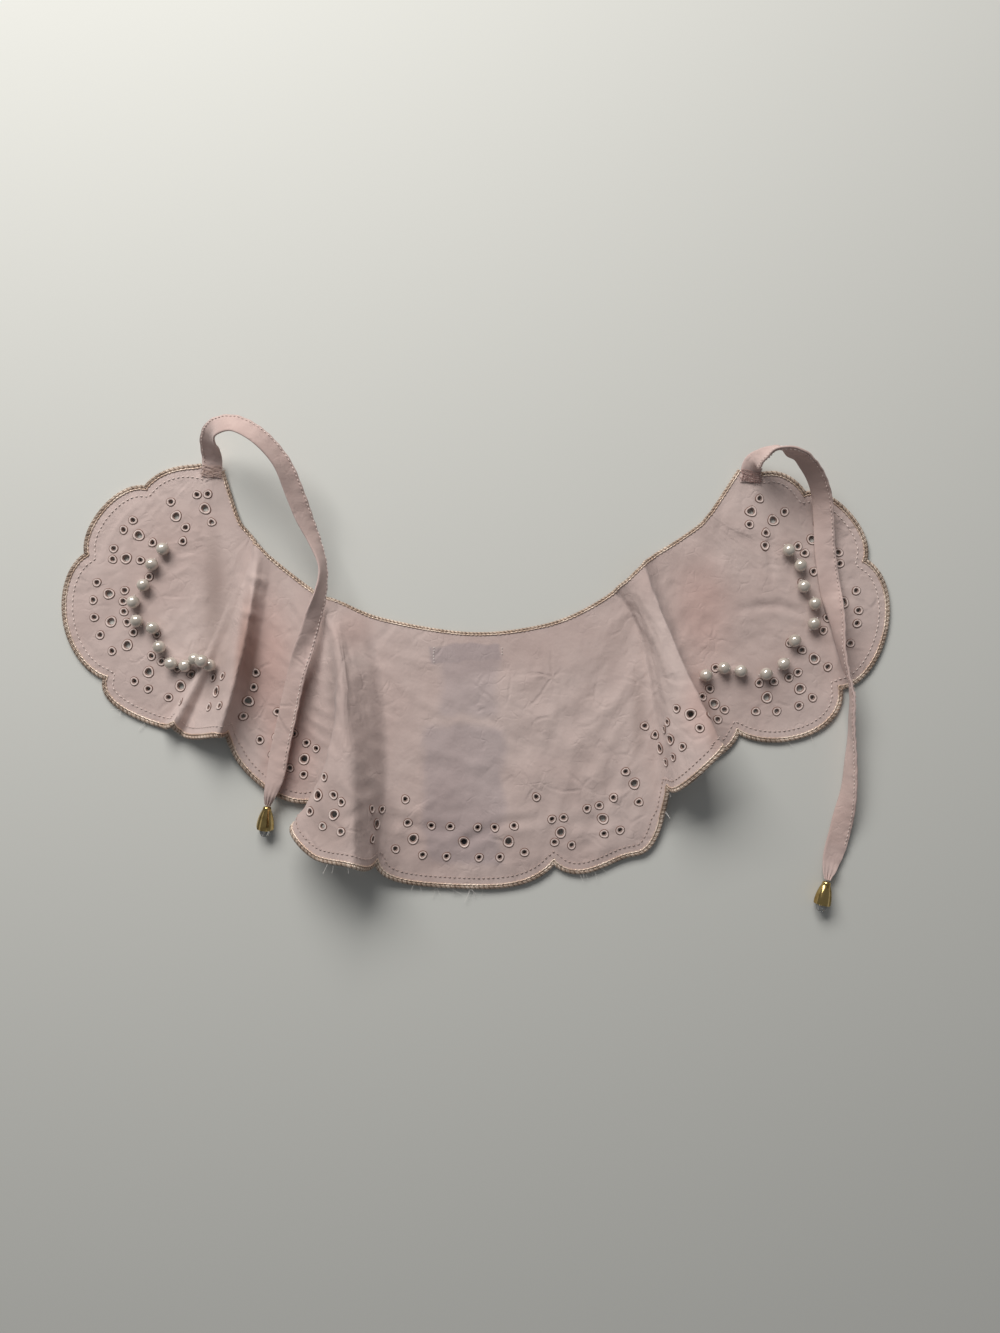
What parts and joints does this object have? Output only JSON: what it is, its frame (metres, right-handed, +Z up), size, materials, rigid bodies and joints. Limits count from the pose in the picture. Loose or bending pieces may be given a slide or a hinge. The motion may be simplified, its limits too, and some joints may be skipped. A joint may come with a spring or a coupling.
{
  "type": "detachable collar",
  "caption": "Detachable collar of eyelet-embroidered cotton with a scalloped corded hem, sewn pearls and two ties with metal tips, lying loose and folded.",
  "frame": {"origin": "middle of the underside of the collar as it lies, its ties included", "axes": "+X along the collar from its left front tip to its right one as pictured, +Y from the hem at the back towards the front tips, +Z up out of the surface it lies on"},
  "size_m": [0.4956, 0.2882, 0.0426],
  "materials": {
    "cotton": "soft plain weave",
    "tie_cotton": "soft plain weave",
    "braid": "fine metallic braid",
    "label": "matte woven",
    "tack_thread": "matte thread",
    "pearl": "pearl gloss",
    "brass": "soft polish",
    "crystal": "faceted"
  },
  "bodies": {
    "root": {"collar_panel": "cotton", "hem_piping": "braid", "neck_piping": "braid", "back_label": "label", "tie_left": "tie_cotton", "tie_right": "tie_cotton", "bar_tack_left": "tack_thread", "bar_tack_right": "tack_thread", "tie_tip_left": "brass", "tie_tip_right": "brass", "tip_crystal_left": "crystal", "tip_crystal_right": "crystal", "pearl_left_01": "pearl", "pearl_left_02": "pearl", "pearl_left_03": "pearl", "pearl_left_04": "pearl", "pearl_left_05": "pearl", "pearl_left_06": "pearl", "pearl_left_07": "pearl", "pearl_left_08": "pearl", "pearl_left_09": "pearl", "pearl_left_10": "pearl", "pearl_left_11": "pearl", "pearl_left_12": "pearl", "pearl_right_01": "pearl", "pearl_right_02": "pearl", "pearl_right_03": "pearl", "pearl_right_04": "pearl", "pearl_right_05": "pearl", "pearl_right_06": "pearl", "pearl_right_07": "pearl", "pearl_right_08": "pearl", "pearl_right_09": "pearl", "pearl_right_10": "pearl", "pearl_right_11": "pearl"}
  },
  "joints": []
}
